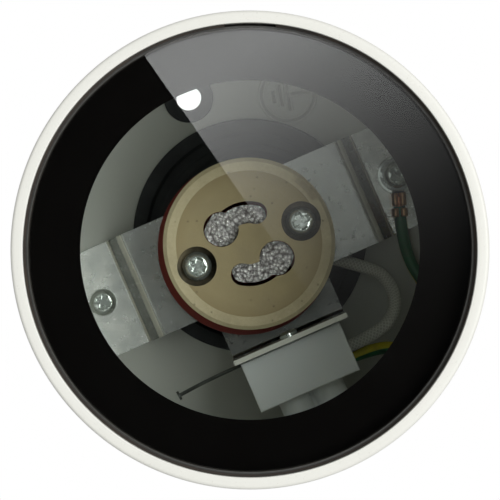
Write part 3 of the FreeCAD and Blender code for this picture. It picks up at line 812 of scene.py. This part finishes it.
# %% Leads
def spline_points(name, route):
    """Samples of a third-order spline that starts and ends at its route's ends, in millimetres."""
    curve = bpy.data.curves.new(name, "CURVE")
    curve.dimensions = "3D"
    line = curve.splines.new("NURBS")
    line.points.add(len(route) - 1)
    for point, place in zip(line.points, route):
        point.co = (*(np.array(place) * mm), 1.0)
    line.order_u = 3
    line.use_endpoint_u = True
    line.resolution_u = 24
    helper = bpy.data.objects.new(name, curve)
    bpy.context.scene.collection.objects.link(helper)
    mesh = bpy.data.meshes.new_from_object(helper)
    places = np.empty(len(mesh.vertices) * 3)
    mesh.vertices.foreach_get("co", places)
    bpy.data.objects.remove(helper)
    bpy.data.meshes.remove(mesh)
    return places.reshape(-1, 3) / mm


def tube(name, path, radius, reference, sides=24):
    """A circle carried along a path: point = path + r (cos a side + sin a over). UV in turns and mm."""
    tangent = np.gradient(path, axis=0)
    tangent /= np.linalg.norm(tangent, axis=1)[:, None]
    side = np.cross(tangent, reference)
    side /= np.linalg.norm(side, axis=1)[:, None]
    over = np.cross(side, tangent)
    turn = np.linspace(0, 2 * math.pi, sides + 1)[None, :, None]
    points = path[:, None] + radius * (np.cos(turn) * side[:, None] + np.sin(turn) * over[:, None])
    length = np.concatenate([[0], np.cumsum(np.linalg.norm(np.diff(path, axis=0), axis=1))])
    u, v = np.meshgrid(np.linspace(0, 1, sides + 1), length)
    mesh = mesh_of(name, points, grid_faces(len(path), sides + 1, closed=False), np.stack([u, v], -1))
    print(f"{name}: {length[-1]:.1f} mm along its middle")
    return mesh


# %% [markdown]
# The routes are the CAD's own: points along and across the bracket, or beside the wall of the can. The
# lamp leads leave the rear of the holder and end in the block, and the earth lead runs from its crimp
# along the wall to the block.

# %% Routes
lead_z = floor - 4.95  # middle of the leads behind the platform
block_rear = box_of("terminal_block")[1][2]
block_middle, block_length, insertion = -0.36, 17.1, 2.5
end_u = block_middle + block_length / 2 - insertion
end_a = in_can(end_u, 21.7, floor - 14.0)
route_a = [(-1.15, -2.0, lead_z), (19.6, 2.5, lead_z), (23.0, 5.3, floor - 7.0), (23.9, 9.6, floor - 10.6)]
route_a += [end_a + along * 7.9, end_a]
route_b = [in_can(0, 3.7, lead_z), in_can(0, 17.4, lead_z), in_can(0, 21.2, lead_z - 3.8)]
route_b += [in_can(0, 21.2, block_rear - insertion)]

terminal_turn, crimp_axis = -4, 1.4
earth_angle = math.radians(90 + terminal_turn)
earth_way = np.array([math.cos(earth_angle), math.sin(earth_angle), 0.0])
earth_start = np.array([*feet[1], foot_face]) + earth_way * 5.3 - up * crimp_axis
end_c = in_can(end_u, 23.4, floor - 12.6)
route_c = [earth_start]
for reach, degrees, drop in ((6.7, 1.1, 2.4), (0.95, 13.9, 3.6), (1.4, 32.7, 9.5)):
    turn = math.radians(degrees)
    reach = inner_radius - reach
    route_c.append((reach * math.cos(turn), reach * math.sin(turn), floor - drop))
route_c += [end_c + along * 7.0, end_c]
for name, route, radius, reference, finish, slot in (
    ("lamp_lead_a", route_a, 1.05, up, white_sleeve, "white_sleeve"),
    ("lamp_lead_b", route_b, 1.05, along, white_sleeve, "white_sleeve"),
    ("earth_lead", route_c, 1.0, up, earth_insulation, "earth_insulation"),
):
    lead_mesh = tube(name + "_smooth", spline_points(name + "_line", route), radius, reference)
    piece_of(name + "_smooth", shade(lead_mesh, 60), "can", finish, [name])

# %% [markdown]
# ## Crimp
# The open barrel of the earth terminal is folded over the wire twice: once on the copper and once on the
# insulation. Each fold has two humps with a cleft between them, so its section is two half circles. The
# flat ring under the screw and a short neck join it to the washer.


# %% Crimp
def folded(low, high, width, swell):
    """A crimped fold: the section |x| < w, z = two half circles of radius w / 2, carried along y."""
    top, bottom, rings = 41, 21, 9
    x = np.concatenate([np.linspace(-1, 1, top), np.linspace(1, -1, bottom)])
    hump = np.sqrt(np.clip(0.25 - (np.abs(x[:top]) - 0.5) ** 2, 0, None)) * 1.7 + 0.15
    z = np.concatenate([hump, np.full(bottom, -0.75)])
    z[top - 1 : top + 1], z[-1] = (0.0, -0.6), -0.6
    y = np.broadcast_to(np.linspace(low, high, rings)[:, None], (rings, len(x)))
    lip = 1 + swell * np.abs(np.linspace(-1, 1, rings)) ** 3
    lip[[0, -1]] *= 0.86
    points = np.stack([x * width * lip[:, None], y, -crimp_axis - z * width * lip[:, None]], -1)
    ends = points.mean(axis=1, keepdims=True)
    return np.concatenate([np.repeat(ends[:1], len(x), 1), points, np.repeat(ends[-1:], len(x), 1)])


folds = []
for section in (folded(3.0, 5.15, 1.22, 0.05), folded(5.5, 6.95, 1.35, 0.04)):
    points = spun(section, terminal_turn) + np.array([*feet[1], foot_face])
    folds.append(mesh_of("fold", points, grid_faces(len(points), len(points[0]))))
bore, edge, top = 1.65, 3.2, -0.8
plate = [(bore, 0), (bore, top), (edge, top), (edge, 0), (bore, 0)]
plate_mesh = turned_mesh("ring", eased(plate, [0, 0.12, 0.12, 0.05, 0], 3), 96)
neck = np.array([(x, y, z) for y in (2.6, 3.4) for x, z in ((-1, top), (1, top), (1, 0), (-1, 0))], float)
sides = [(0, 1, 5, 4), (1, 2, 6, 5), (2, 3, 7, 6), (3, 0, 4, 7), (3, 2, 1, 0), (4, 5, 6, 7)]
terminal_mesh = joined("earth_terminal_plate", [plate_mesh, mesh_of("neck", neck, sides)])
lift = Matrix.Translation((*(feet[1] * mm), foot_face * mm))
terminal_mesh.transform(lift @ Matrix.Rotation(math.radians(terminal_turn), 4, "Z"))
shade(terminal_mesh, 40)
piece_of("earth_terminal_plate", terminal_mesh, "can", screw_zinc, ["earth_terminal"])
crimp_mesh = welded(joined("earth_crimp", folds))
piece_of("earth_crimp", shade(crimp_mesh, 50), "can", terminal_brass)

# %% [markdown]
# ## Screws
# A pan head is a shallow dome with a cross pressed into it. On a polar grid the height is the dome's
# curve less the depth of the cross, which is 1 inside either of two crossed bars and falls off smoothly.


# %% Screws
def pan_head(name, radius, low, high, centre, twist):
    """A screw head down (-Z) and shank up: dome = 1 - (r / R)^7, less the cross, then a round shank."""
    sides, height, shank = 192, 1.9, 1.45
    bearing, length = low + height, high - low - height
    r = np.concatenate([np.linspace(0, 0.7, 44), np.linspace(0.72, 1.0, 20)])[:, None] * radius
    turn = np.linspace(0, 2 * math.pi, sides, endpoint=False)[None]
    x, y = r * np.cos(turn), r * np.sin(turn)
    bar_width, bar_reach = 0.16 * radius, 0.56 * radius

    def bar(a, b):
        side = np.clip((bar_width * 1.5 - np.abs(a)) / (bar_width * 0.6), 0, 1)
        end = np.clip((bar_reach * 1.1 - np.abs(b)) / (bar_reach * 0.3), 0, 1)
        return np.minimum(side, end)

    cross = np.maximum(bar(x, y), bar(y, x))
    cross = cross * cross * (3 - 2 * cross)
    dome = 0.40 + 0.60 * (1 - (r / radius) ** 7)
    z = -height * dome + 0.62 * height * cross
    top = np.stack([x, y, z + 0 * turn], -1)
    side = turned([(radius, -0.35 * height), (radius, 0), (shank, 0), (shank, length), (0.01, length)], sides)
    points = np.concatenate([top, side])
    points = spun(points, twist) + np.array([*centre, bearing])
    return welded(mesh_of(name, points, grid_faces(len(points), sides)))


for node, radius, twist in (("foot_screw", 2.2, 15.0), ("earth_screw", 2.2, 40.0)):
    low, high = box_of(node)
    centre = ((low + high) / 2)[:2]
    head = pan_head(node + "_cross", radius, low[2], high[2], centre, twist)
    piece_of(node + "_cross", shade(head, 40), "can", screw_zinc, [node])

low, high = box_of("holder_screws")
pair = []
for side, twist in ((-1, 20.0), (1, 64.0)):
    centre = in_can(side * 9.0, 0, 0)[:2]
    pair.append(pan_head("holder_screw", 2.375, low[2], high[2], centre, twist))
pair_mesh = joined("holder_screws_cross", pair)
piece_of("holder_screws_cross", shade(pair_mesh, 40), "can", screw_zinc, ["holder_screws"])

# %% [markdown]
# ## Pieces whose CAD shape is right
# Folded sheet, the washer, the holder and the block are already true in the CAD, so they only get their
# finish.

# %% Dress the CAD nodes
plain = {
    "glass_gasket": gasket_rubber,
    "holder_bracket": sheet_zinc,
    "earth_washer": screw_zinc,
    "earth_conductor": bare_copper,
    "holder_body": holder_ceramic,
    "insulating_disc": red_board,
    "contact_leaf_1": contact_metal,
    "contact_leaf_2": contact_metal,
    "contact_tail_1": contact_metal,
    "contact_tail_2": contact_metal,
    "terminal_block": white_plastic,
    "block_rivet": screw_zinc,
    "block_pin": pin_steel,
}
for name, finish in plain.items():
    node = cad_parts[name]
    node.data.materials.clear()
    node.data.materials.append(finish)
print("dressed", len(plain), "CAD nodes")

# %% [markdown]
# ## Studio
# The light hangs in an even white studio above a pale floor, and the camera looks straight up at it. The
# lens follows from the picture: a millimetre that is one metre away covers 4.794 of its 500 pixels.

# %% Camera
camera = bpy.data.objects.new("camera", bpy.data.cameras.new("camera"))
bpy.context.scene.collection.objects.link(camera)
camera_distance = 700.0
camera.location = (0, 0, (rim - camera_distance) * mm)
camera.rotation_euler = (math.pi, 0, 0)
camera.data.sensor_width = 36.0
camera.data.lens = camera.data.sensor_width * 4794.0 / 500.0
camera.data.clip_start, camera.data.clip_end = 0.01, 100.0
bpy.context.scene.camera = camera
print("camera", camera_distance, "mm below the rim, with a lens of", round(camera.data.lens, 1), "mm")

# %% [markdown]
# The floor lies well below, behind the camera. It sends soft light back up, and no mirror sees it.

# %% Floor
reach, level = 9e3, -2300
floor_corners = [(reach * x, reach * y, level) for x, y in ((-1, -1), (1, -1), (1, 1), (-1, 1))]
floor_mesh = mesh_of("studio_floor", floor_corners, [(0, 1, 2, 3)])
studio_floor = bpy.data.objects.new("studio_floor", floor_mesh)
bpy.context.scene.collection.objects.link(studio_floor)
pale = Finish("pale_floor")
floor_mesh.materials.append(pale.surface(Base_Color=(0.80, 0.80, 0.79), Roughness=0.9))
studio_floor.visible_glossy = False
print("floor", -level, "mm below the mounting face")

# %% [markdown]
# The world is white all round. The glass mirrors whatever is round the camera, so for mirror rays a small
# patch straight down is dark. The camera sees the full white, and the other rays see about half of it.

# %% World
world = bpy.data.worlds.new("studio")
bpy.context.scene.world = world
world.use_nodes = True
sky = Finish("studio", world.node_tree)
ray = sky.add("ShaderNodeLightPath")
direction = sky.add("ShaderNodeSeparateXYZ", None, [sky.add("ShaderNodeTexCoord")[0]])
patch = (direction[2] * -1.0).between(0.990, 0.996)
dark = patch * ray[3]
light = sky.blend((1.0, 1.0, 1.0), (0.0, 0.0, 0.0), dark)
ambient = 0.48
strength = ambient + (1 - ambient) * ray[0]
glow = sky.add("ShaderNodeBackground", None, {"Color": light, "Strength": strength})[0]
sky.add("ShaderNodeOutputWorld", None, {"Surface": glow})
print("the camera sees a world of 1, and the other rays one of", ambient)

# %% [markdown]
# The key light is a square soft box to the right of the lens. It stands wide of what the glass mirrors,
# and it is aimed at the glass, so it shines on the metals and lights the left of the can's inside.

# %% Key light
key_light = bpy.data.lights.new("key_softbox", "AREA")
key_light.shape = "RECTANGLE"
key_light.size = key_light.size_y = 1.45
key_light.energy = 44.0
key = bpy.data.objects.new("key_softbox", key_light)
key_place, key_aim = Vector((1.0296, -0.1456, -2.0)), Vector((0.0, 0.0, -0.1))
key.location = key_place
key.rotation_euler = (key_aim - key_place).to_track_quat("-Z", "Y").to_euler()
bpy.context.scene.collection.objects.link(key)
key.visible_camera = False
print("key light", key_light.energy, "W, at", [round(c, 2) for c in key_place])

# %% [markdown]
# One card gives the soft reflection across the pane, and only mirror rays see it. A mirror image fades
# when its source does, so the card's glow falls as the glass is crossed down and to the right: by the
# same share for each millimetre at first, and faster further on. The card ends on the left in a straight
# diagonal edge.

# %% Reflection card
card_drop = 900.0
spread = 1 + (card_drop + glass_front) / (camera_distance + rim - glass_front)


def on_card(x, y):
    """Where a point of the glass, in millimetres, meets its reflection on the card."""
    return np.array([x * spread, y * spread, -card_drop])


edge_start, edge_end, far_x = (-24.9, -42.0), (28.0, 34.0), 48.0
outline = [edge_start, edge_end, (far_x, edge_end[1]), (far_x, edge_start[1])]
card_mesh = mesh_of("reflection_card", [on_card(x, y) for x, y in outline], [(0, 1, 2, 3)])
card = bpy.data.objects.new("reflection_card", card_mesh)
bpy.context.scene.collection.objects.link(card)
glow_card = Finish("card_glow")
x, y, z = glow_card.axes()
crossed = (x * 0.53 + y * 0.9) * (1 / spread) + 26.4
crossed = crossed.math("MAXIMUM", crossed, 0.0)
brightest, fade, later_fade = 2.75, -0.0376, 0.0014
strength = brightest * crossed.math("EXPONENT", crossed * (fade - later_fade * crossed))
emit = glow_card.add("ShaderNodeEmission", None, {"Color": (1, 1, 1), "Strength": strength})[0]
glow_card.add("ShaderNodeOutputMaterial", None, {"Surface": emit})
card_mesh.materials.append(glow_card.material)
card.visible_camera = False
card.visible_diffuse = False
card.visible_shadow = False
print("card", card_drop, "mm below the mounting face, with a glow of", brightest, "at its edge")

# %% [markdown]
# Colours are shown as they are worked out, without a film look.

# %% Colour
scene = bpy.context.scene
scene.view_settings.view_transform = "Standard"
scene.view_settings.look = "None"
print("colours:", scene.view_settings.view_transform)

# %% [markdown]
# ## The CAD's box
# The dressed model has to stay in the CAD's box.
